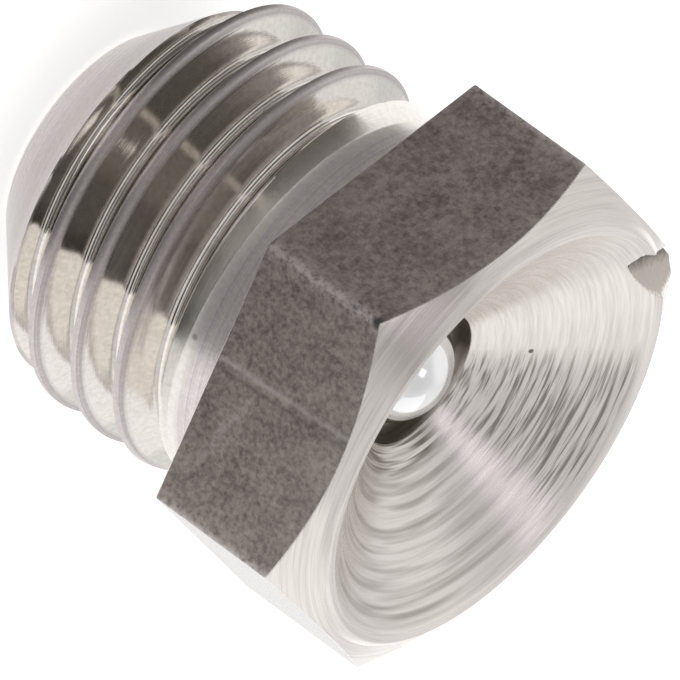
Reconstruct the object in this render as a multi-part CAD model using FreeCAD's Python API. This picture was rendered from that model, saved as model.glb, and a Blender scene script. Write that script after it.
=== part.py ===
# Grease nipple, funnel type, with an M8 x 1 thread: the turned body, its check ball and the spring
# that holds the ball shut. Millimetres. Z runs out of the funnel, and z = 0 is the underside of the
# hexagon, which seats on the machine.
import math
import os

import FreeCAD
import Part
from FreeCAD import Vector

# head
hex_across_flats = 9.0
head_height = 3.22
corner_height = 2.6
corner_chamfer_angle = 30.0
chamfer_radius = 4.38
lip_rise_width = 0.15
lip_land_width = 0.18
mouth_drop = 0.045
funnel_half_angle = 57.0
throat_radius = 1.31
throat_depth = 0.25

# nick that a blow left in the lip
nick_inset = 0.08
nick_azimuth = 21.7
nick_heading = -37.4
nick_depth = 0.366
nick_fall = 13.4
nick_round = 0.84
nick_inner_end = 0.26
nick_length = 2.4

# thread and nose
thread_radius = 4.0
thread_pitch = 1.0
thread_flank_angle = 30.0
crest_width = thread_pitch / 8
root_width = thread_pitch / 6
thread_phase = 258.8
neck_relief = 0.32
neck_length = 1.1
washer_clearance = 0.02
run_out_length = 1.0
run_out_angle = 38.0
shank_length = 6.35
nose_radius = 2.22
nose_angle = 45.0
nose_round = 0.25

# valve
ball_radius = 1.1
ball_height = 0.72
seat_half_angle = 20.0
seat_clearance = 0.01
chamber_radius = 1.5
outlet_radius = 0.75
outlet_lip = 0.45

# spring
wire_radius = 0.14
wire_sides = 8
chords_per_turn = 16
coil_radius = 0.95
coil_turns = 7
end_turns = 1.0
spring_clearance = 0.02

# places that follow from the sizes above
crown_radius = chamfer_radius - lip_rise_width
mouth_radius = crown_radius - lip_land_width
nick_radius = crown_radius - nick_inset
neck_radius = thread_radius - neck_relief
funnel_top = head_height - mouth_drop
funnel_bottom = funnel_top - (mouth_radius - throat_radius) / math.tan(math.radians(funnel_half_angle))
throat_floor = funnel_bottom - throat_depth
neck_fillet = neck_relief + washer_clearance


def polar(radius, degrees, z=0.0):
    a = math.radians(degrees)
    return Vector(radius * math.cos(a), radius * math.sin(a), z)


def turned(points):
    """A solid of revolution about Z from (radius, z) corners that close on the axis."""
    corners = [Vector(r, 0, z) for r, z in points]
    face = Part.Face(Part.makePolygon(corners + [corners[0]]))
    return face.revolve(Vector(0, 0, 0), Vector(0, 0, 1), 360)


def hexagon():
    """Hexagonal bar with the 30 degree chamfer that the lathe leaves, and the raised lip above it."""
    corner = hex_across_flats / 2 / math.cos(math.radians(30))
    ring = [polar(corner, 60 * k) for k in range(7)]
    bar = Part.Face(Part.makePolygon(ring)).extrude(Vector(0, 0, head_height))
    slope = math.tan(math.radians(corner_chamfer_angle))
    reach = corner + 1
    envelope = turned([
        (0, 0), (reach, 0), (reach, corner_height - (reach - corner) * slope),
        (chamfer_radius, corner_height + (corner - chamfer_radius) * slope),
        (crown_radius, head_height), (mouth_radius, funnel_top), (0, funnel_top)])
    return bar.common(envelope)


def shank():
    """Neck, thread blank and tapered nose, with no groove yet. It reaches up into the head."""
    thread_top = -neck_length - run_out_length
    nose_top = -shank_length + (thread_radius - nose_radius) / math.tan(math.radians(nose_angle))
    blank = turned([
        (0, head_height / 3), (neck_radius, head_height / 3), (neck_radius, -neck_length),
        (thread_radius, thread_top), (thread_radius, nose_top), (nose_radius, -shank_length),
        (0, -shank_length)])
    return blank.makeFillet(nose_round, ring_edges(blank, nose_radius, -shank_length))


def ring_edges(shape, radius, z):
    """The full-circle edges of this radius at this height."""
    found = []
    for edge in shape.Edges:
        if isinstance(edge.Curve, Part.Circle):
            near = abs(edge.Curve.Radius - radius) + abs(edge.Curve.Center.z - z)
            if near < 1e-4:
                found.append(edge)
    return found


def groove_section():
    """Sixty degree groove with a narrow flat root, as a closed wire in the XZ plane about z = 0."""
    slope = math.tan(math.radians(thread_flank_angle))
    mouth = (thread_pitch - crest_width) / 2
    depth = (mouth - root_width / 2) / slope
    above = 0.08 * thread_pitch
    root = thread_radius - depth
    outside = thread_radius + above
    wide = mouth + above * slope
    corners = [
        Vector(outside, 0, -wide), Vector(root, 0, -root_width / 2),
        Vector(root, 0, root_width / 2), Vector(outside, 0, wide)]
    return Part.makePolygon(corners + [corners[0]])


def thread_grooves():
    """The thread's groove, one solid to a turn. The last one climbs out of the neck and fades."""
    section = groove_section()
    full = Part.Wire(Part.makeHelix(thread_pitch, thread_pitch, thread_radius))
    fading = Part.Wire(Part.makeHelix(thread_pitch, 0.75 * thread_pitch, thread_radius, run_out_angle))
    fade_start = -neck_length - thread_pitch / 4
    turns = [fading.makePipeShell([section], True, True)]
    one_turn = full.makePipeShell([section], True, True)
    for below in range(1, math.ceil((shank_length + fade_start) / thread_pitch) + 1):
        groove = one_turn.copy()
        groove.translate(Vector(0, 0, -below * thread_pitch))
        turns.append(groove)
    for groove in turns:
        groove.translate(Vector(0, 0, fade_start))
        groove.rotate(Vector(0, 0, 0), Vector(0, 0, 1), thread_phase)
    return turns


def valve_bore():
    """Funnel, throat, ball seat, spring chamber and the small outlet in the nose."""
    seat = math.radians(seat_half_angle)
    touch_r = ball_radius * math.cos(seat) + seat_clearance / math.cos(seat)
    touch_z = ball_height + ball_radius * math.sin(seat)
    seat_top = touch_r - (throat_floor - touch_z) * math.tan(seat)
    seat_end = touch_z - (chamber_radius - touch_r) / math.tan(seat)
    chamber_end = -shank_length + outlet_lip
    above = 1.0
    wide = mouth_radius + above * math.tan(math.radians(funnel_half_angle))
    return turned([
        (0, funnel_top + above), (wide, funnel_top + above), (throat_radius, funnel_bottom),
        (throat_radius, throat_floor), (seat_top, throat_floor), (chamber_radius, seat_end),
        (chamber_radius, chamber_end), (outlet_radius, chamber_end),
        (outlet_radius, -shank_length - above), (0, -shank_length - above)])


def lip_nick():
    """What the blow took out of the lip: half of a round-bottomed gouge that falls away outwards, blunt at
    its inner end, with one upright side."""
    gouge = Part.makeCylinder(
        nick_round, nick_length, Vector(-nick_inner_end, 0, nick_round), Vector(1, 0, 0))
    side = Part.makeBox(nick_length, nick_round, 2 * nick_round, Vector(-nick_inner_end, -nick_round, 0))
    gouge = gouge.common(side)
    gouge.rotate(Vector(0, 0, 0), Vector(0, 1, 0), nick_fall)
    gouge.rotate(Vector(0, 0, 0), Vector(0, 0, 1), nick_heading)
    gouge.translate(polar(nick_radius, nick_azimuth, head_height - nick_depth))
    return gouge


def nipple_body():
    """One turned piece: hexagon head, neck, rolled thread and nose."""
    blank = hexagon().fuse(shank())
    blank = blank.removeSplitter()
    blank = blank.makeFillet(neck_fillet, ring_edges(blank, neck_radius, 0))
    body = blank.cut(valve_bore()).cut(lip_nick())
    for groove in thread_grooves():
        body = body.cut(groove)
    return body


def check_ball():
    return Part.makeSphere(ball_radius, Vector(0, 0, ball_height))


def wire_section(degrees, z):
    """The wire's outline where the coil passes this angle at this height."""
    corners = []
    for side in range(wire_sides):
        a = 2 * math.pi * (side + 0.5) / wire_sides
        corners.append(polar(coil_radius + wire_radius * math.cos(a), degrees, z + wire_radius * math.sin(a)))
    return Part.makePolygon(corners + [corners[0]])


def valve_spring():
    """Compression spring with a closed turn at each end, between the outlet lip and the ball."""
    foot = -shank_length + outlet_lip + wire_radius + spring_clearance
    reach = ball_radius + wire_radius + spring_clearance
    head = ball_height - math.sqrt(reach ** 2 - coil_radius ** 2)
    closed = 2.1 * wire_radius
    open_pitch = (head - foot - 2 * closed * end_turns) / coil_turns
    turns = coil_turns + 2 * end_turns
    sections = []
    for k in range(int(turns * chords_per_turn) + 1):
        t = k / chords_per_turn
        in_foot = min(t, end_turns)
        in_head = max(t - end_turns - coil_turns, 0)
        z = foot + closed * (in_foot + in_head) + open_pitch * (t - in_foot - in_head)
        sections.append(wire_section(360 * t, z))
    return Part.makeLoft(sections, True, True)


os.makedirs("parts", exist_ok=True)
nipple_body().exportStep("parts/nipple_body.step")
check_ball().exportStep("parts/check_ball.step")
valve_spring().exportStep("parts/valve_spring.step")
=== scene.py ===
import math

import bmesh
import bpy
from mathutils import Matrix, Vector


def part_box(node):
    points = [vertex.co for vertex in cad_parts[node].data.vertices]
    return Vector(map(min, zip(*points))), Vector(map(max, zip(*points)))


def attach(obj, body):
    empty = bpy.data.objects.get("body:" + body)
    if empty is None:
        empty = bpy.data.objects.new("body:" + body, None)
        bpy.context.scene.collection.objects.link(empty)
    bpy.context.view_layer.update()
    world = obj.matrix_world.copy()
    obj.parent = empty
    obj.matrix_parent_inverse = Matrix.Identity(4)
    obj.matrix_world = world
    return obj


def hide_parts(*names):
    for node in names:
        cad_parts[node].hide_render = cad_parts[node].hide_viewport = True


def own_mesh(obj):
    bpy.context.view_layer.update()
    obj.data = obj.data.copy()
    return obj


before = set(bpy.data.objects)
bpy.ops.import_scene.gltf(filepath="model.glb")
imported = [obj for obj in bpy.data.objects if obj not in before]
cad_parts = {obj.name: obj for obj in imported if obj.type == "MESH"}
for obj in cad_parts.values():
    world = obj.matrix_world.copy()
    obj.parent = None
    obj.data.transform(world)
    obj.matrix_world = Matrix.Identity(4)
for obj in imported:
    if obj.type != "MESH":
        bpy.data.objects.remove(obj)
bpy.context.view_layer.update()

# Camera: a long lens from above the funnel, rolled so that the nipple lies along the picture's diagonal
# with its mouth to the lower right.
camera_place = Vector((-0.202585, 0.299705, 0.170694))
camera_right = Vector((0.68069209, 0.04239308, 0.73134199))
camera_up = Vector((0.52994332, 0.66077309, -0.53154398))
camera_back = camera_right.cross(camera_up)
camera_lens = 1225.1


def add_object(name, data):
    """A new object with this data, linked to the scene."""
    made = bpy.data.objects.new(name, data)
    bpy.context.scene.collection.objects.link(made)
    return made


camera_data = bpy.data.cameras.new("camera")
camera_data.lens = camera_lens
camera_data.sensor_width = 36.0
camera_data.clip_start = 0.01
camera = add_object("camera", camera_data)
camera_turn = Matrix((camera_right, camera_up, camera_back)).transposed()
camera.matrix_world = Matrix.Translation(camera_place) @ camera_turn.to_4x4()
bpy.context.scene.camera = camera

# Nipple body: one piece of stainless hexagon bar. It is turned on the chamfer, lip, funnel, neck and
# nose, its thread is rolled, and its six flats keep the dull skin of the drawn bar.
MM = 0.001
body_low, body_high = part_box("nipple_body")
flat_distance = body_high.y
corner_distance = body_high.x
head_top = body_high.z
nose_end = body_low.z
nose_radius = 2.22 * MM
neck_radius = 3.68 * MM
neck_end = -1.1 * MM
thread_radius = 4.0 * MM
pitch = 1.0 * MM
mouth_radius = 4.05 * MM
nick_heading = -37.4


class NodeTree:
    """A geometry or shader node tree that is written as nested calls."""

    def __init__(self, tree):
        self.tree = tree

    def add(self, kind, inputs=None, **settings):
        """A new node with these settings. Its inputs are values, or sockets to link from."""
        node = self.tree.nodes.new(kind)
        for name, value in settings.items():
            setattr(node, name, value)
        for key, value in (inputs or {}).items():
            socket = node.inputs[key]
            if isinstance(value, bpy.types.NodeSocket):
                self.tree.links.new(value, socket)
            else:
                socket.default_value = value
        return node

    def math(self, operation, *values):
        """One math node on these values."""
        return self.add("ShaderNodeMath", dict(enumerate(values)), operation=operation).outputs[0]

    def chain(self, operation, values):
        """The same operation on two values or more, from the first to the last."""
        result = values[0]
        for value in values[1:]:
            result = self.math(operation, result, value)
        return result

    def total(self, *values):
        return self.chain("ADD", values)

    def product(self, *values):
        return self.chain("MULTIPLY", values)

    def greatest(self, *values):
        return self.chain("MAXIMUM", values)

    def less(self, value, taken):
        return self.math("SUBTRACT", value, taken)

    def mixed(self, one, two, share):
        """A mean of two values, in which the second one has this share."""
        return self.total(self.product(one, 1 - share), self.product(two, share))

    def between(self, value, start, end, low=0.0, high=1.0):
        """Maps a value from one range to another and clamps it there."""
        return self.add("ShaderNodeMapRange", {
            "Value": value, "From Min": start, "From Max": end,
            "To Min": low, "To Max": high}).outputs[0]

    def noise(self, place, scale, detail=2.0, roughness=0.5):
        return self.add("ShaderNodeTexNoise", {
            "Vector": place, "Scale": scale, "Detail": detail, "Roughness": roughness}).outputs[0]

    def blend(self, share, one, two):
        """Colour that runs from one to two with share."""
        node = self.add("ShaderNodeMix", data_type="RGBA")
        for socket, value in ((node.inputs[0], share), (node.inputs[6], one), (node.inputs[7], two)):
            if isinstance(value, bpy.types.NodeSocket):
                self.tree.links.new(value, socket)
            elif isinstance(value, tuple):
                socket.default_value = (*value, 1)
            else:
                socket.default_value = value
        return node.outputs[2]

    def vector(self, x, y, z):
        return self.add("ShaderNodeCombineXYZ", {0: x, 1: y, 2: z}).outputs[0]

    def parts(self, vector):
        """X, Y and Z of a vector."""
        return self.add("ShaderNodeSeparateXYZ", {0: vector}).outputs

    def along(self, x, y, degrees):
        """How far the point x, y lies from the axis in this direction."""
        a = math.radians(degrees)
        return self.total(self.product(x, math.cos(a)), self.product(y, math.sin(a)))


class Finish(NodeTree):
    """The material of one finish. Places on the piece are read in millimetres from Object coordinates.
    Colour and roughness are its mean ones, which nodes may vary."""

    def __init__(self, name, colour, roughness, metallic=1.0):
        self.material = bpy.data.materials.new(name)
        self.material.use_nodes = True
        self.material.node_tree.nodes.clear()
        super().__init__(self.material.node_tree)
        self.shader = self.add("ShaderNodeBsdfPrincipled", {
            "Base Color": (*colour, 1), "Roughness": roughness, "Metallic": metallic})
        self.add("ShaderNodeOutputMaterial", {"Surface": self.shader.outputs[0]})
        here = self.add("ShaderNodeTexCoord").outputs["Object"]
        scaled = self.add("ShaderNodeVectorMath", {0: here, "Scale": 1 / MM}, operation="SCALE")
        self.place = scaled.outputs[0]
        self.x, self.y, self.z = self.parts(self.place)
        squares = self.total(self.math("POWER", self.x, 2.0), self.math("POWER", self.y, 2.0))
        self.radius = self.math("SQRT", squares)
        self.outwards = self.vector(self.x, self.y, 0.0)
        way = self.add("ShaderNodeVectorMath", {0: self.outwards}, operation="NORMALIZE").outputs[0]
        self.way_x, self.way_y, _ = self.parts(way)

    def link(self, **sockets):
        """Links these sockets to the shader, by names with underscores for spaces."""
        for name, socket in sockets.items():
            self.tree.links.new(socket, self.shader.inputs[name.replace("_", " ")])
        return self.material

    def bump(self, height, depth):
        """Normals of a surface with this height, where depth is in millimetres."""
        return self.add("ShaderNodeBump", {"Height": height, "Distance": depth * MM}).outputs[0]

    def spot(self, radius, degrees, z, size):
        """One inside a ball of this size round a place, zero outside, with a soft edge."""
        a = math.radians(degrees)
        middle = (radius * math.cos(a), radius * math.sin(a), z)
        away = self.add("ShaderNodeVectorMath", {0: self.place, 1: middle}, operation="DISTANCE")
        return self.between(away.outputs["Value"], size, 0.5 * size)

    def stripe(self, off, width, depth):
        """This depth where off is zero, fading to nothing at the width on each side."""
        return self.between(self.math("ABSOLUTE", off), width, 0.0, 0.0, depth)

    def arcs(self, reach, across, detail=2.0):
        """Noise in arcs round the axis. Reach is how often it changes along them, and across is how
        often it does in one millimetre outwards."""
        place = self.vector(self.product(self.way_x, reach), self.product(self.way_y, reach),
                            self.product(self.radius, across))
        return self.noise(place, scale=1.0, detail=detail, roughness=0.6)

    def sector(self, degrees, edge, full):
        """One round this direction, zero away from it. Edge and full are cosines of the angle off it."""
        return self.between(self.along(self.way_x, self.way_y, degrees), edge, full)


def turned_steel():
    """Stainless steel as the lathe leaves it: fine rings of feed marks, and dark arcs in them, partly
    dried grease and partly painted shade where the funnel mirrors darker. Its sheen fans out across the
    rings."""
    metal = Finish("turned steel", colour=(0.78, 0.74, 0.7), roughness=0.27)
    metal.shader.inputs["Anisotropic"].default_value = 0.6
    feed = metal.arcs(reach=1.1, across=9.0, detail=3.0)
    fine = metal.arcs(reach=2.5, across=26.0)
    smoother = metal.between(metal.sector(20, edge=0.6, full=0.95), 0.0, 1.0, low=1.0, high=0.45)
    height = metal.product(metal.mixed(feed, fine, share=0.35), smoother)

    in_funnel = metal.between(metal.radius, mouth_radius / MM, 3.9)
    near_throat = metal.between(metal.radius, 2.0, 1.65)
    # The dashes and rings are partly grease in the feed marks and partly painted shade: they lie only in
    # the sectors where the funnel mirrors something darker.
    dashes = metal.between(metal.arcs(reach=2.4, across=19.0), 0.56, 0.38, high=0.82)
    dashes = metal.product(dashes, metal.sector(-40, edge=0.86, full=0.96))
    rings = metal.between(metal.arcs(reach=0.9, across=6.5), 0.58, 0.36, low=0.1, high=0.6)
    rings = metal.product(rings, metal.sector(-125, edge=0.4, full=0.8))
    inner_rings = metal.between(metal.arcs(reach=0.8, across=13.0, detail=1.0), 0.6, 0.46, high=0.95)
    inner_rings = metal.product(inner_rings, metal.sector(-125, edge=0.55, full=0.8), near_throat)
    grease_and_shade = metal.product(metal.greatest(dashes, rings, inner_rings), in_funnel)
    speck = metal.spot(radius=2.262, degrees=-13.2, z=2.014, size=0.065)

    on_lip = metal.between(metal.radius, 4.0, 4.25)
    on_chamfer = metal.between(metal.radius, 4.2, 4.45)
    # Partly a real smear and partly painted shade: the lip is darkened near 112 degrees, where the top
    # lamp's highlight falls.
    smear_and_shade = metal.between(metal.arcs(reach=1.5, across=7.0), 0.35, 0.6, low=0.2, high=0.5)
    smear_and_shade = metal.product(smear_and_shade, metal.sector(112, edge=0.93, full=0.985), on_lip)
    dulled = metal.between(fine, 0.3, 0.7, low=0.12, high=0.34)
    dulled = metal.product(dulled, metal.sector(62, edge=0.9, full=0.98), on_chamfer)
    hairs = metal.between(fine, 0.62, 0.3, high=0.22)
    share = metal.greatest(grease_and_shade, hairs, speck, smear_and_shade, dulled)
    clean = (0.82, 0.775, 0.735)
    grease_and_shade_tone = (0.17, 0.145, 0.125)
    return metal.link(Base_Color=metal.blend(share, clean, grease_and_shade_tone),
                      Normal=metal.bump(height, depth=0.007), Tangent=metal.outwards,
                      Roughness=metal.between(feed, 0.3, 0.7, low=0.22, high=0.32))


def rolled_steel():
    """What thread rolls leave: flanks like a mirror, with fine lines along the thread, and duller
    crests. The plain neck above them is ground."""
    metal = Finish("rolled steel", colour=(0.76, 0.73, 0.71), roughness=0.1)
    # Phase stays the same along the screw line, so noise by phase and radius makes lines along it.
    turn = metal.math("ARCTAN2", metal.y, metal.x)
    phase = metal.less(metal.product(metal.z, 2 * math.pi * MM / pitch), turn)
    screw_place = metal.vector(metal.product(metal.math("COSINE", phase), 1.6),
                               metal.product(metal.math("SINE", phase), 1.6),
                               metal.product(metal.radius, 3.0))
    lines = metal.noise(screw_place, scale=3.5, detail=4.0, roughness=0.65)
    speckle = metal.noise(metal.place, scale=16.0, detail=3.0, roughness=0.6)
    cloud = metal.noise(metal.place, scale=9.0, detail=4.0, roughness=0.7)

    cone_radius = metal.total(metal.z, (nose_radius - nose_end) / MM)
    major = thread_radius / MM
    neck_height = neck_end / MM
    on_cone = metal.between(metal.less(cone_radius, metal.radius), 0.12, 0.04)
    crest = metal.greatest(metal.between(metal.radius, major - 0.16, major - 0.08), on_cone)
    neck = metal.between(metal.z, neck_height + 0.08, neck_height + 0.25)
    ground = metal.between(metal.z, neck_height - 0.65, neck_height + 0.05)

    dull = metal.greatest(crest, neck)
    worn = metal.between(metal.mixed(lines, speckle, share=0.3), 0.4, 0.6, low=0.3)
    dull_share = metal.product(dull, worn)
    # A darker brown band runs round the middle of the nose cone, over brown clouds at random.
    band_middle = -5.35
    off_band = metal.math("ABSOLUTE", metal.less(metal.z, band_middle))
    cone_band = metal.between(off_band, 0.5, 0.1, high=0.45)
    speck = metal.spot(radius=neck_radius / MM, degrees=151.1, z=-1.0, size=0.08)
    clouds_and_cone_band = metal.total(metal.between(cloud, 0.4, 0.75, high=0.35), metal.product(cone_band, on_cone))
    bright = (0.77, 0.735, 0.69)
    dull_grey = (0.52, 0.475, 0.49)
    brown = (0.42, 0.375, 0.34)
    colour = metal.blend(dull_share, bright, dull_grey)
    colour = metal.blend(metal.greatest(clouds_and_cone_band, speck), colour, brown)

    rough = metal.greatest(metal.product(ground, 0.3), metal.product(crest, 0.42))
    rough = metal.less(rough, metal.product(on_cone, 0.18))
    rough = metal.greatest(rough, metal.between(lines, 0.3, 0.7, low=0.05, high=0.11))
    height = metal.total(lines, metal.product(speckle, dull, 1.2))
    return metal.link(Base_Color=colour, Normal=metal.bump(height, depth=0.002), Roughness=rough)


def drawn_skin():
    """Dull grey skin of the drawn bar, mottled at the size of its grain and paler along its corners,
    partly rubbed and partly a painted highlight. The die has left two lines along one flat, and a faint
    rub crosses them."""
    metal = Finish("drawn skin", colour=(0.2, 0.18, 0.165), roughness=0.45, metallic=0.7)
    metal.shader.inputs["Coat Weight"].default_value = 1.0
    metal.shader.inputs["Coat Roughness"].default_value = 0.2
    grain = metal.noise(metal.place, scale=9.0, detail=5.0, roughness=0.68)
    cloud = metal.noise(metal.place, scale=1.4)
    mottle = metal.between(metal.mixed(grain, cloud, share=0.25), 0.37, 0.63)
    dark_grey = (0.108, 0.085, 0.072)
    light_grey = (0.335, 0.288, 0.258)
    colour = metal.blend(mottle, dark_grey, light_grey)

    # Painted highlight in part: the pale bands along the corners stand for the edge highlight as well as
    # for rubbed wear.
    rubbed_corner_and_highlight = metal.product(metal.between(metal.radius, 5.135, 5.18),
                                  metal.between(grain, 0.35, 0.65, low=0.1, high=0.8))
    pale_edge_and_highlight = metal.product(metal.between(metal.radius, 5.05, 5.16),
                               metal.between(grain, 0.4, 0.6, low=0.05, high=0.4))
    chip = metal.spot(radius=corner_distance / MM, degrees=120, z=2.56, size=0.16)
    bare_and_highlight_grey = (0.62, 0.58, 0.55)
    pale_grey = (0.5, 0.44, 0.42)
    chip_black = (0.03, 0.025, 0.02)
    colour = metal.blend(rubbed_corner_and_highlight, colour, bare_and_highlight_grey)
    colour = metal.blend(pale_edge_and_highlight, colour, pale_grey)
    colour = metal.blend(chip, colour, chip_black)

    marked_flat = 150
    flat_place = flat_distance / MM
    outward = metal.along(metal.x, metal.y, marked_flat)
    on_flat = metal.between(outward, flat_place - 0.2, flat_place - 0.1)
    aside = metal.along(metal.x, metal.y, marked_flat + 90)
    die_lean = 0.052
    die_line = metal.total(aside, metal.product(metal.z, die_lean))
    patchy = metal.product(on_flat, metal.between(cloud, 0.25, 0.45, low=0.35))
    dark_line = (-0.13, 0.07, (0.06, 0.05, 0.048), 0.45)
    light_line = (-0.31, 0.08, (0.6, 0.57, 0.55), 0.4)
    for place, width, tone, depth in (dark_line, light_line):
        mark = metal.product(metal.stripe(metal.less(die_line, place), width, depth), patchy)
        colour = metal.blend(mark, colour, tone)
    rub_lean = 0.31
    rub_height = 0.93
    rub_grey = (0.5, 0.46, 0.43)
    rub_line = metal.less(metal.total(metal.z, metal.product(aside, rub_lean)), rub_height)
    rub_reach = metal.product(metal.between(aside, -0.05, 0.1), metal.between(aside, 2.0, 1.3))
    rub = metal.product(metal.stripe(rub_line, width=0.14, depth=0.4), on_flat, rub_reach,
                        metal.between(grain, 0.35, 0.6, low=0.4))
    colour = metal.blend(rub, colour, rub_grey)
    return metal.link(Base_Color=colour, Normal=metal.bump(grain, depth=0.006),
                      Roughness=metal.between(grain, 0.3, 0.7, low=0.38, high=0.52))


def bored_steel():
    """Drilled and reamed steel inside the valve, painted dark as shade for its recess, and lighter on
    one side.
    """
    metal = Finish("bored steel", colour=(0.27, 0.24, 0.21), roughness=0.4)
    rings = metal.noise(metal.vector(metal.radius, metal.z, 0.0), scale=9.0)
    lighter_side = metal.between(metal.less(metal.x, metal.y), 1.45, 1.8)
    # Painted shade: this dark tone stands for the shade in the throat's recess.
    dulled = (0.2, 0.175, 0.15)
    bright = (0.62, 0.57, 0.53)
    return metal.link(Base_Color=metal.blend(lighter_side, dulled, bright),
                      Normal=metal.bump(rings, depth=0.01))


def torn_steel():
    """Torn surface of the nick, matt, with painted shade along the foot of its steep side and at its
    inner end.
    """
    metal = Finish("torn steel", colour=(0.5, 0.46, 0.42), roughness=0.5)
    tear = metal.noise(metal.place, scale=9.0, detail=4.0, roughness=0.6)
    ragged = metal.product(metal.less(tear, 0.5), 0.25)
    aside = metal.along(metal.x, metal.y, nick_heading + 90)
    inward = metal.along(metal.x, metal.y, nick_heading + 180)
    # Painted shade along the foot of the steep side and at the inner end, where the gouge lies in shade.
    side_foot = metal.between(metal.total(aside, ragged), 3.1, 3.32)
    inner_foot = metal.between(metal.total(inward, ragged), -2.15, -1.95)
    on_side = metal.between(aside, 3.6, 3.54, low=0.25)
    foot_shade = metal.product(metal.greatest(side_foot, inner_foot), on_side)
    clean = (0.56, 0.51, 0.46)
    foot_shade_tone = (0.13, 0.11, 0.095)
    return metal.link(Base_Color=metal.blend(foot_shade, clean, foot_shade_tone), Normal=metal.bump(tear, depth=0.03))


finishes = {
    "skin": drawn_skin(),
    "turned": turned_steel(),
    "rolled": rolled_steel(),
    "bore": bored_steel(),
    "torn": torn_steel()}

# Thread of the body: M8 x 1, right-hand, rolled, with rounded roots and narrow flat crests. It starts on
# the tapered nose, and at the neck its groove climbs out on a cone, so that the last crest fades away.
flank_angle = math.radians(30)
flank_slope = math.tan(flank_angle)
root_round = 0.144 * MM
thread_bottom = nose_end + 0.1 * MM
thread_turns = 5
crest_angle = 140.0
crest_height = -1.18 * MM
columns_per_turn = 192


def geometry_tree(name, sizes):
    """A new geometry node tree with one named input for each size, and the sockets of those inputs."""
    tree = bpy.data.node_groups.new(name, "GeometryNodeTree")
    tree.interface.new_socket("Geometry", in_out="INPUT", socket_type="NodeSocketGeometry")
    tree.interface.new_socket("Geometry", in_out="OUTPUT", socket_type="NodeSocketGeometry")
    for size, value in sizes.items():
        kind = "NodeSocketInt" if isinstance(value, int) else "NodeSocketFloat"
        tree.interface.new_socket(size, in_out="INPUT", socket_type=kind)
    entry = tree.nodes.new("NodeGroupInput")
    leave = tree.nodes.new("NodeGroupOutput")
    return NodeTree(tree), entry.outputs, leave.inputs[0]


def finish_tree(nodes, geometry, material, out):
    """Ends a geometry node tree with real geometry of one material."""
    real = nodes.add("GeometryNodeRealizeInstances", {"Geometry": geometry})
    dressed = nodes.add("GeometryNodeSetMaterial", {"Geometry": real.outputs[0], "Material": material})
    nodes.tree.links.new(dressed.outputs[0], out)


def mesh_from_tree(name, nodes, sizes):
    """Runs a geometry node tree with these sizes and returns what it makes as a plain mesh."""
    holder = add_object(name, bpy.data.meshes.new(name))
    modifier = holder.modifiers.new(name, "NODES")
    modifier.node_group = nodes.tree
    for item in nodes.tree.interface.items_tree:
        if item.item_type == "SOCKET" and item.in_out == "INPUT" and item.name in sizes:
            modifier[item.identifier] = sizes[item.name]
    graph = bpy.context.evaluated_depsgraph_get()
    mesh = bpy.data.meshes.new_from_object(holder.evaluated_get(graph))
    bpy.data.objects.remove(holder)
    return mesh


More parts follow.
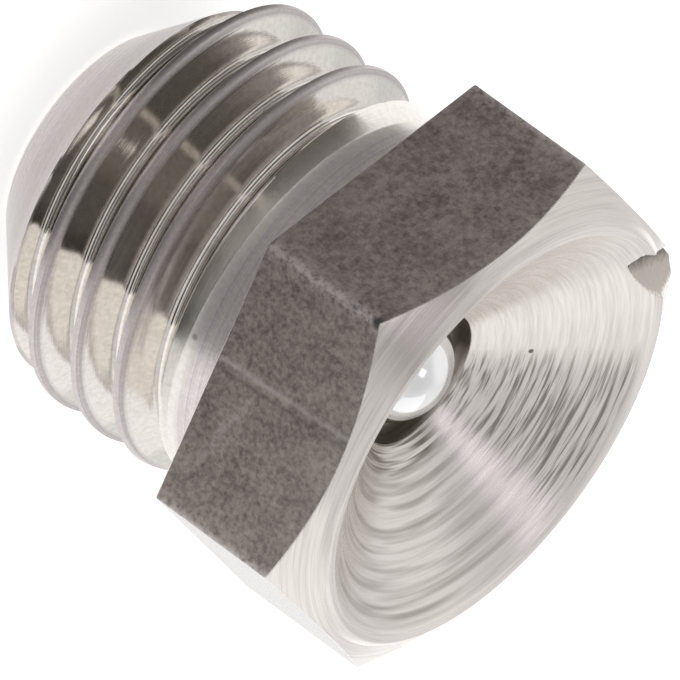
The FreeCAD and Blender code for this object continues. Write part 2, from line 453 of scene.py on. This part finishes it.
def thread_tree(sizes):
    """Shank from nose cone to neck. A grid is wound up the screw line, one strip to a turn, so that its
    rows follow the groove, and a strip more at each end closes it to a level ring."""
    n, size, out = geometry_tree("rolled thread", sizes)
    strips = n.total(size["Turns"], 2)
    grid = n.add("GeometryNodeMeshGrid", {
        "Size X": strips, "Size Y": 1.0,
        "Vertices X": n.total(n.product(strips, size["Columns"]), 1),
        "Vertices Y": n.total(size["Rows"], 1)})
    grid_x, grid_y, _ = n.parts(n.add("GeometryNodeInputPosition").outputs[0])
    turn = n.total(grid_x, n.math("DIVIDE", size["Turns"], 2))
    across = n.total(grid_y, 0.5)

    # Height: each strip climbs one pitch in a turn, and the strips at the ends stop at a level ring.
    lead = n.product(turn, size["Pitch"])
    top = n.product(n.total(size["Turns"], 1), size["Pitch"])
    lower = n.greatest(lead, 0.0)
    upper = n.math("MINIMUM", n.total(lead, size["Pitch"]), top)
    z = n.total(size["Bottom"], n.total(lower, n.product(across, n.less(upper, lower))))

    # Blank: the shank before rolling, between the cone of the nose and the neck.
    below_neck = n.greatest(n.less(size["Neck end"], z), 0.0)
    run_out = n.total(size["Neck radius"], n.product(below_neck, size["Run-out slope"]))
    blank = n.math("SMOOTH_MIN", run_out, size["Major radius"], size["Run-out blend"])
    cone = n.total(size["Nose radius"], n.less(z, size["Nose end"]))
    blank = n.math("SMOOTH_MIN", blank, cone, size["Edge blend"])

    # Groove: two flanks and a round root, which climb out of the blank where the thread ends.
    off_root = n.product(n.math("ABSOLUTE", n.less(across, 0.5)), size["Pitch"])
    half_mouth = n.product(n.less(size["Pitch"], size["Crest width"]), 0.5)
    sharp = n.less(size["Major radius"], n.math("DIVIDE", half_mouth, flank_slope))
    flank = n.total(sharp, n.math("DIVIDE", off_root, flank_slope))
    centre = n.total(sharp, n.product(size["Root round"], 2.0))
    reach = n.less(n.math("POWER", size["Root round"], 2.0), n.math("POWER", off_root, 2.0))
    arc = n.less(centre, n.math("SQRT", n.greatest(reach, 0.0)))
    in_arc = n.math("LESS_THAN", off_root, n.product(size["Root round"], math.cos(flank_angle)))
    groove = n.total(n.product(in_arc, arc), n.product(n.less(1.0, in_arc), flank))
    middle = n.total(size["Bottom"], n.total(lead, n.product(size["Pitch"], 0.5)))
    climbed = n.greatest(n.less(middle, size["Climb start"]), 0.0)
    groove = n.total(groove, n.product(climbed, size["Climb slope"]))
    radius = n.math("SMOOTH_MIN", blank, groove, size["Edge blend"])

    # The grid's points go to this radius and height, and the seams between strips are merged.
    angle = n.product(n.total(turn, size["Start turn"]), 2 * math.pi)
    point = n.vector(n.product(radius, n.math("COSINE", angle)),
                     n.product(radius, n.math("SINE", angle)), z)
    wound = n.add("GeometryNodeSetPosition", {"Geometry": grid.outputs["Mesh"], "Position": point})
    closed = n.add("GeometryNodeMergeByDistance", {"Geometry": wound.outputs[0], "Distance": 2e-7})
    finish_tree(n, closed.outputs[0], finishes["rolled"], out)
    return n


thread_sizes = {
    "Turns": thread_turns, "Columns": columns_per_turn, "Rows": 32, "Pitch": pitch,
    "Bottom": thread_bottom, "Neck end": neck_end, "Neck radius": neck_radius,
    "Run-out slope": (thread_radius - neck_radius) / pitch, "Run-out blend": 0.08 * MM,
    "Major radius": thread_radius, "Nose radius": nose_radius, "Nose end": nose_end,
    "Edge blend": 0.05 * MM, "Crest width": pitch / 8, "Root round": root_round,
    "Climb start": -1.35 * MM, "Climb slope": math.tan(math.radians(38)),
    "Start turn": (crest_angle / 360 + (thread_bottom - crest_height) / pitch) % 1}
thread_mesh = mesh_from_tree("thread", thread_tree(thread_sizes), thread_sizes)

# Head and bore of the body: a hexagon for a 9 mm spanner, chamfered on the lathe up to a raised lip. The
# funnel inside it guides the gun's nozzle to the throat, where the ball seats. A blow nicked the lip.
corner_height = 2.6 * MM
chamfer_slope = math.tan(math.radians(30))
chamfer_radius = 4.38 * MM
crown_radius = 4.23 * MM
mouth_drop = 0.045 * MM
funnel_slope = 1 / math.tan(math.radians(57))
throat_radius = 1.31 * MM
throat_depth = 0.25 * MM
seat_top_radius = 1.027 * MM
seat_end = -0.156 * MM
chamber_radius = 1.5 * MM
chamber_end = nose_end + 0.45 * MM
outlet_radius = 0.75 * MM
corner_round = 0.05 * MM
edge_round = 0.03 * MM
crown_round = 0.07 * MM
mouth_round = 0.08 * MM
neck_corner = 0.34 * MM
nose_round = 0.25 * MM
sharp_angle = math.radians(32)

nick_radius = 4.15 * MM
nick_azimuth = math.radians(21.7)
nick_depth = 0.366 * MM
nick_fall = math.tan(math.radians(13.4))
nick_round = 0.84 * MM
nick_inner_end = 0.26 * MM
nick_side_slope = 6.0
nick_lowest = head_top - 0.8 * MM


def hexagon_radius(angle):
    """Distance from the axis to the drawn bar's outline, whose corners are slightly rounded."""
    off = abs((angle + math.pi / 6) % (math.pi / 3) - math.pi / 6)
    centre = (flat_distance - corner_round) / math.cos(math.pi / 6)
    tangent = math.atan2(corner_round / 2, centre + corner_round * math.cos(math.pi / 6))
    if off < tangent:
        return centre * math.cos(off) + math.sqrt(corner_round ** 2 - (centre * math.sin(off)) ** 2)
    return flat_distance / math.cos(math.pi / 6 - off)


def outline(corners):
    """Points of a profile with rounded corners. A corner is its radius, height and rounding, then the
    rows on the run that leads to it and that run's finish, which each point keeps for its faces."""
    arc_step = math.radians(12)
    points = []
    for k, (r, z, rounding, rows, finish) in enumerate(corners):
        here = Vector((r, z))
        turn = []
        if rounding:
            back = (Vector(corners[k - 1][:2]) - here).normalized()
            ahead = (Vector(corners[k + 1][:2]) - here).normalized()
            half = back.angle(ahead) / 2
            cut = rounding / math.tan(half)
            centre = here + (back + ahead).normalized() * (rounding / math.sin(half))
            from_centre = here + back * cut - centre
            sweep = from_centre.angle_signed(here + ahead * cut - centre)
            pieces = max(2, round(abs(sweep) / arc_step))
            for piece in range(pieces + 1):
                turn.append(centre + Matrix.Rotation(-sweep * piece / pieces, 2) @ from_centre)
        else:
            turn.append(here)
        if points:
            start = Vector(points[-1][:2])
            for row in range(1, rows):
                points.append((*start.lerp(turn[0], row / rows), finish))
        points.append((*turn[0], finish))
        for place in turn[1:]:
            points.append((*place, finish if finish != "skin" else "turned"))
    return points


def head_outline(angle):
    """Profile of the head and bore in the half plane at this angle, from the underside outwards."""
    side = hexagon_radius(angle)
    funnel_top = head_top - mouth_drop
    funnel_bottom = funnel_top - (mouth_radius - throat_radius) * funnel_slope
    shelf = funnel_bottom - throat_depth
    fine_depth = 0.55 * MM
    return outline([
        (side - 2 * edge_round, 0, 0, 1, "turned"),
        (side, 0, edge_round, 1, "turned"),
        (side, corner_height + (corner_distance - side) * chamfer_slope, edge_round, 8, "skin"),
        (chamfer_radius, corner_height + (corner_distance - chamfer_radius) * chamfer_slope,
         edge_round, 26, "turned"),
        (crown_radius, head_top, crown_round, 3, "turned"),
        (mouth_radius, funnel_top, mouth_round, 3, "turned"),
        (mouth_radius - fine_depth, funnel_top - fine_depth * funnel_slope, 0, 20, "turned"),
        (throat_radius, funnel_bottom, edge_round, 12, "turned"),
        (throat_radius, shelf, 0, 3, "bore"),
        (seat_top_radius, shelf, 0, 2, "bore"),
        (chamber_radius, seat_end, 0, 4, "bore"),
        (chamber_radius, chamber_end, 0, 6, "bore"),
        (outlet_radius, chamber_end, 0, 2, "bore"),
        (outlet_radius, nose_end, edge_round, 2, "bore"),
        (outlet_radius + 4 * edge_round, nose_end, 0, 1, "turned")])


def nicked(x, y, z):
    """Height of the surface after the blow: a round-bottomed gouge that falls away outwards, with one
    steep side and a blunt inner end."""
    off_x = x - nick_radius * math.cos(nick_azimuth)
    off_y = y - nick_radius * math.sin(nick_azimuth)
    heading = math.radians(nick_heading)
    along = off_x * math.cos(heading) + off_y * math.sin(heading)
    aside = off_y * math.cos(heading) - off_x * math.sin(heading)
    if abs(aside) >= nick_round:
        return z
    floor = head_top - nick_depth - along * nick_fall
    if aside > 0:
        floor += aside * nick_side_slope
    else:
        floor += nick_round - math.sqrt(nick_round ** 2 - aside ** 2)
    floor += max(-nick_inner_end - along, 0) * nick_side_slope
    return min(z, floor)


def head_angles():
    """Column angles round the head, close together at the hexagon's corners and at the nick."""
    at_corner = 0.2
    growth = 0.12
    widest = 2.5
    at_nick = 0.3
    found = []
    for corner in range(6):
        off = 0.0
        while off < 60:
            found.append(math.radians(60 * corner + off))
            step = min(at_corner + growth * min(off, 60 - off), widest)
            if corner == 0 and off < 30:
                step = min(step, at_nick)
            off += step
    return found


class Shell:
    """Vertices, faces and finishes of the body as its rings are laid one on the next."""

    def __init__(self):
        self.points = []
        self.faces = []
        self.finishes = []

    def ring(self, points):
        first = len(self.points)
        self.points += points
        return list(range(first, len(self.points)))

    def join(self, one, two, finish):
        """Faces between two rings with the same columns."""
        for k in range(len(one)):
            after = (k + 1) % len(one)
            self.faces.append((one[k], one[after], two[after], two[k]))
            self.finishes.append(finish)

    def join_rings(self, rings, profile):
        """Faces between each ring and the next, in the finishes of the profile's points."""
        for before, after, (_, _, finish) in zip(rings, rings[1:], profile[1:]):
            self.join(before, after, finish)

    def lathe(self, profile, angles):
        """Rings for each point of a round profile, joined in order."""
        rings = []
        for r, z, _ in profile:
            rings.append(self.ring([(r * math.cos(a), r * math.sin(a), z) for a in angles]))
        self.join_rings(rings, profile)
        return rings

    def in_order(self, ring):
        """Angle and vertex round a ring, from the lowest angle to the same vertex one turn on."""
        turned = sorted((math.atan2(self.points[v][1], self.points[v][0]), v) for v in ring)
        return turned + [(turned[0][0] + 2 * math.pi, turned[0][1])]

    def join_level(self, one, two, finish):
        """Faces between two rings in one plane whose columns differ, in the order of their angles."""
        inner = self.in_order(one)
        outer = self.in_order(two)
        i = j = 0
        while i + j < len(one) + len(two):
            if j == len(two) or (i < len(one) and inner[i + 1][0] < outer[j + 1][0]):
                self.faces.append((inner[i][1], inner[i + 1][1], outer[j][1]))
                i += 1
            else:
                self.faces.append((inner[i][1], outer[j + 1][1], outer[j][1]))
                j += 1
            self.finishes.append(finish)


shell = Shell()
angles = head_angles()
profiles = [head_outline(angle) for angle in angles]
head_rings = []
struck = set()
for row in zip(*profiles):
    ring = []
    for angle, (r, z, finish) in zip(angles, row):
        x = r * math.cos(angle)
        y = r * math.sin(angle)
        lowered = nicked(x, y, z) if z > nick_lowest else z
        if lowered < z:
            struck.add(len(shell.points) + len(ring))
        ring.append((x, y, lowered))
    head_rings.append(shell.ring(ring))
shell.join_rings(head_rings, profiles[0])
for number, face in enumerate(shell.faces):
    if struck.issuperset(face):
        shell.finishes[number] = "torn"

shank_angles = []
for column in range(columns_per_turn):
    shank_angles.append(2 * math.pi * (thread_sizes["Start turn"] + column / columns_per_turn))
neck_top = thread_bottom + (thread_turns + 1) * pitch
corner_steps = 6
corner_profile = []
for step in range(corner_steps + 1):
    a = math.pi / 2 * step / corner_steps
    corner_radius = neck_radius + neck_corner * (1 - math.cos(a))
    corner_profile.append((corner_radius, neck_top * (1 - math.sin(a)), "rolled"))
neck_rings = shell.lathe(corner_profile, shank_angles)
shell.join_level(neck_rings[-1], head_rings[0], "turned")
nose_profile = outline([
    (nose_radius - 2 * nose_round, nose_end, 0, 1, "turned"),
    (nose_radius, nose_end, nose_round, 2, "turned"),
    (nose_radius + thread_bottom - nose_end, thread_bottom, 0, 1, "rolled")])
nose_rings = shell.lathe(nose_profile, shank_angles)
shell.join_level(head_rings[-1], nose_rings[0], "turned")

slots = list(finishes)
head_mesh = bpy.data.meshes.new("head")
head_mesh.from_pydata(shell.points, [], shell.faces)
for face, finish in zip(head_mesh.polygons, shell.finishes):
    face.material_index = slots.index(finish)
joined = bmesh.new()
joined.from_mesh(thread_mesh)
for face in joined.faces:
    face.material_index = slots.index("rolled")
joined.from_mesh(head_mesh)
bmesh.ops.remove_doubles(joined, verts=joined.verts, dist=1e-7)
body_mesh = bpy.data.meshes.new("body")
joined.to_mesh(body_mesh)
joined.free()
for material in finishes.values():
    body_mesh.materials.append(material)
body_mesh.shade_smooth()
body_mesh.set_sharp_from_angle(angle=sharp_angle)
body = add_object("body", body_mesh)
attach(body, "nipple")
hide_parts("nipple_body")

# Check ball: a hardened and polished bearing ball. Only the spring holds it, against the seat under the
# throat, until the nozzle's pressure pushes it down.
ball_low, ball_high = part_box("check_ball")
ball_radius = 1.1 * MM
ball_centre = (ball_low.z + ball_high.z) / 2


def polished_steel():
    """Bright steel with a faint haze of fine scratches."""
    metal = Finish("polished steel", colour=(0.90, 0.90, 0.90), roughness=0.08)
    haze = metal.noise(metal.place, scale=3.0, detail=4.0)
    return metal.link(Roughness=metal.between(haze, 0.35, 0.65, low=0.05, high=0.14))


ball_mesh = bpy.data.meshes.new("ball")
sphere = bmesh.new()
bmesh.ops.create_icosphere(sphere, subdivisions=5, radius=ball_radius)
bmesh.ops.translate(sphere, verts=sphere.verts, vec=(0, 0, ball_centre))
sphere.to_mesh(ball_mesh)
sphere.free()
ball_mesh.shade_smooth()
ball_mesh.materials.append(polished_steel())
ball = add_object("ball", ball_mesh)
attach(ball, "ball")
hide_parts("check_ball")

# Valve spring: round steel wire wound with a closed turn at each end. It stands on the lip round the
# outlet and presses the ball up against its seat.
wire_radius = 0.14 * MM
coil_radius = 0.95 * MM
coil_turns = 7
end_turns = 1
spring_clearance = 0.02 * MM
closed_pitch = 2.1 * wire_radius
spring_foot = chamber_end + wire_radius + spring_clearance
ball_reach = ball_radius + wire_radius + spring_clearance
spring_head = ball_centre - math.sqrt(ball_reach ** 2 - coil_radius ** 2)


def spring_wire():
    """Hard-drawn wire with the die's lines along it."""
    metal = Finish("spring wire", colour=(0.55, 0.54, 0.53), roughness=0.3)
    lines = metal.noise(metal.vector(metal.radius, metal.z, 0.0), scale=30.0)
    return metal.link(Normal=metal.bump(lines, depth=0.004))


def spring_tree(sizes, material):
    """A line of points wound into the coil, with the wire's round section swept along it."""
    n, size, out = geometry_tree("valve spring", sizes)
    turns = n.total(size["Open turns"], n.product(size["End turns"], 2))
    line = n.add("GeometryNodeMeshLine", {"Count": n.total(n.product(turns, size["Chords"]), 1)})
    turn = n.math("DIVIDE", n.add("GeometryNodeInputIndex").outputs[0], size["Chords"])
    in_foot = n.math("MINIMUM", turn, size["End turns"])
    past_open = n.less(turn, n.total(size["End turns"], size["Open turns"]))
    closed = n.total(in_foot, n.greatest(past_open, 0.0))
    z = n.total(size["Foot"], n.product(closed, size["Closed pitch"]),
                n.product(n.less(turn, closed), size["Open pitch"]))
    angle = n.product(turn, 2 * math.pi)
    point = n.vector(n.product(size["Coil radius"], n.math("COSINE", angle)),
                     n.product(size["Coil radius"], n.math("SINE", angle)), z)
    coil = n.add("GeometryNodeSetPosition", {"Geometry": line.outputs[0], "Position": point})
    path = n.add("GeometryNodeMeshToCurve", {"Mesh": coil.outputs[0]})
    section = n.add("GeometryNodeCurvePrimitiveCircle", {
        "Resolution": 16, "Radius": size["Wire radius"]})
    wire = n.add("GeometryNodeCurveToMesh", {
        "Curve": path.outputs[0], "Profile Curve": section.outputs[0], "Fill Caps": True})
    finish_tree(n, wire.outputs[0], material, out)
    return n


spring_sizes = {
    "Open turns": coil_turns, "End turns": end_turns, "Chords": 48, "Foot": spring_foot,
    "Closed pitch": closed_pitch, "Coil radius": coil_radius, "Wire radius": wire_radius,
    "Open pitch": (spring_head - spring_foot - 2 * closed_pitch * end_turns) / coil_turns}
spring_mesh = mesh_from_tree("spring", spring_tree(spring_sizes, spring_wire()), spring_sizes)
spring_mesh.shade_smooth()
spring = add_object("spring", spring_mesh)
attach(spring, "nipple")
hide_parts("valve_spring")
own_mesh(spring)

# Floor: a plain sheet of matt white paper, on which the nipple stands with the end of its nose. It is
# white all over to the camera and to what the metal mirrors, and it takes the nipple's soft shadow.
floor_reach = 0.5
floor_gap = 0.02 * MM
sheet_glow = 0.5


def matt_paper(name, grey):
    """Plain paper with no gloss at all."""
    paper = Finish(name, colour=(grey, grey, grey), roughness=1.0, metallic=0.0)
    paper.shader.inputs["Specular IOR Level"].default_value = 0.0
    return paper


def add_sheet(name, points, faces, material):
    """A sheet of these faces, which is no part of the object."""
    mesh = bpy.data.meshes.new(name)
    mesh.from_pydata(points, [], faces)
    mesh.materials.append(material)
    sheet = add_object(name, mesh)
    return sheet


def level_sheet(name, corners, z, material):
    """A level sheet with these corners, at this height."""
    return add_sheet(name, [(x, y, z) for x, y in corners], [tuple(range(len(corners)))], material)


def shows_background(nodes):
    """One for rays from the camera and for those that metal or glass sends on, else zero."""
    ray = nodes.add("ShaderNodeLightPath").outputs
    return nodes.greatest(ray["Is Camera Ray"], ray["Is Glossy Ray"], ray["Is Transmission Ray"])


white_sheet = matt_paper("white sheet", grey=0.95)
white_sheet.shader.inputs["Emission Color"].default_value = (1, 1, 1, 1)
white_sheet.link(Emission_Strength=white_sheet.product(shows_background(white_sheet), sheet_glow))
floor_corners = [(-floor_reach, -floor_reach), (floor_reach, -floor_reach), (floor_reach, floor_reach),
                 (-floor_reach, floor_reach)]
level_sheet("floor", floor_corners, nose_end - floor_gap, white_sheet.material)

# Dark card: a grey card on the sheet, on the camera's side of the nipple, and a low curved screen that
# stands outside it. They are a painted reflection: only what the bright metal mirrors shows them, as the
# dark zones and one light strip on the thread.
card_corners = [(-4.5, 1.3), (-3.4, 7.0), (3.4, 1.9), (18, 1.5), (24, 26), (-24, 26), (-24, 0.4)]
screen_radius = 40 * MM
screen_height = 17 * MM
screen_start = 28
screen_step = 3.8
screen_panels = 40


def dark_side(paper, end_tone):
    """Grey of what stands in front of the nipple, by its direction: dark, with one light gap, which the
    metal mirrors as a painted light strip.
    """
    warm_green = 0.95
    warm_blue = 0.89
    turn = paper.math("ARCTAN2", paper.y, paper.x)
    tones = paper.add("ShaderNodeValToRGB", {0: paper.math("DIVIDE", turn, math.pi)})
    ramp = tones.color_ramp
    for degrees, tone in ((30, end_tone), (42, 0.2), (96, 0.17), (98, 0.75), (100, 0.75), (102, 0.27),
                          (126, 0.3), (136, 0.19), (158, 0.17), (168, 0.08), (178.5, 0.08),
                          (179.5, end_tone)):
        stop = ramp.elements.new(degrees / 180)
        stop.color = (tone, tone * warm_green, tone * warm_blue, 1)
    ramp.elements.remove(ramp.elements[0])
    ramp.elements.remove(ramp.elements[-1])
    return tones.outputs[0]


dark_card = matt_paper("dark card", grey=0.06)
on_card = dark_card.between(dark_card.z, -6.1, -6.3)
far_part = dark_card.product(dark_card.between(dark_card.radius, 10.5, 14.0), on_card)
far_grey = (0.5, 0.48, 0.49)
dark_card.link(Base_Color=dark_card.blend(far_part, dark_side(dark_card, end_tone=0.42), far_grey))
card_outline = [(x * MM, y * MM) for x, y in reversed(card_corners)]
card = level_sheet("card", card_outline, nose_end, dark_card.material)
screen_points = []
for k in range(screen_panels + 1):
    a = math.radians(screen_start + screen_step * k)
    for up in (0, screen_height):
        screen_points.append((screen_radius * math.cos(a), screen_radius * math.sin(a), nose_end + up))
screen_faces = [(2 * k, 2 * k + 1, 2 * k + 3, 2 * k + 2) for k in range(screen_panels)]
screen = add_sheet("screen", screen_points, screen_faces, dark_card.material)
for dark in (card, screen):
    dark.visible_camera = False
    dark.visible_diffuse = False
    dark.visible_shadow = False

# Light: a white room, a little brighter in two places beyond the nipple and dimmer overhead. A large
# soft lamp stands beyond the nipple too, and a small one shines almost straight down into the funnel.
room_white = 0.77
overhead_loss = 0.12
world = bpy.data.worlds.new("world")
bpy.context.scene.world = world
world.use_nodes = True
room = NodeTree(world.node_tree)
background = world.node_tree.nodes["Background"]
sight = room.add("ShaderNodeTexCoord").outputs["Generated"]


def way_to(azimuth, elevation):
    """Unit vector in the direction of this azimuth and elevation, in degrees."""
    a = math.radians(azimuth)
    e = math.radians(elevation)
    return Vector((math.cos(e) * math.cos(a), math.cos(e) * math.sin(a), math.sin(e)))


def glow(azimuth, elevation, edge, full, strength):
    """A soft round patch of the room that is brighter than the rest. Edge and full are cosines."""
    towards = room.add("ShaderNodeVectorMath", {0: sight, 1: way_to(azimuth, elevation)},
                       operation="DOT_PRODUCT")
    return room.between(towards.outputs["Value"], edge, full, 0.0, strength)


def lamp(name, azimuth, elevation, distance, size, radiance, tint):
    """Square soft lamp that faces the nipple from this direction."""
    data = bpy.data.lights.new(name, "AREA")
    data.color = tint
    data.size = size
    data.energy = radiance * math.pi * size * size
    away = way_to(azimuth, elevation)
    facing = away.to_track_quat("Z", "Y").to_matrix().to_4x4()
    add_object(name, data).matrix_world = Matrix.Translation(away * distance) @ facing


wide_glow = glow(azimuth=274, elevation=18, edge=0.65, full=0.97, strength=0.13)
small_glow = glow(azimuth=345, elevation=38, edge=0.88, full=0.96, strength=0.15)
sight_z = room.parts(sight)["Z"]
overhead = room.between(sight_z, 0.8, 1.0, 0.0, overhead_loss)
level = room.less(room.total(room_white, wide_glow, small_glow), overhead)
world.node_tree.links.new(level, background.inputs["Strength"])
background.inputs["Color"].default_value = (1, 1, 1, 1)
lamp("key", azimuth=258, elevation=38, distance=0.2, size=0.14, radiance=0.2, tint=(1.0, 1.0, 1.0))
lamp("top", azimuth=34, elevation=79, distance=0.2, size=0.04, radiance=0.8, tint=(0.96, 0.84, 1.0))

bpy.context.scene.view_settings.view_transform = "Standard"
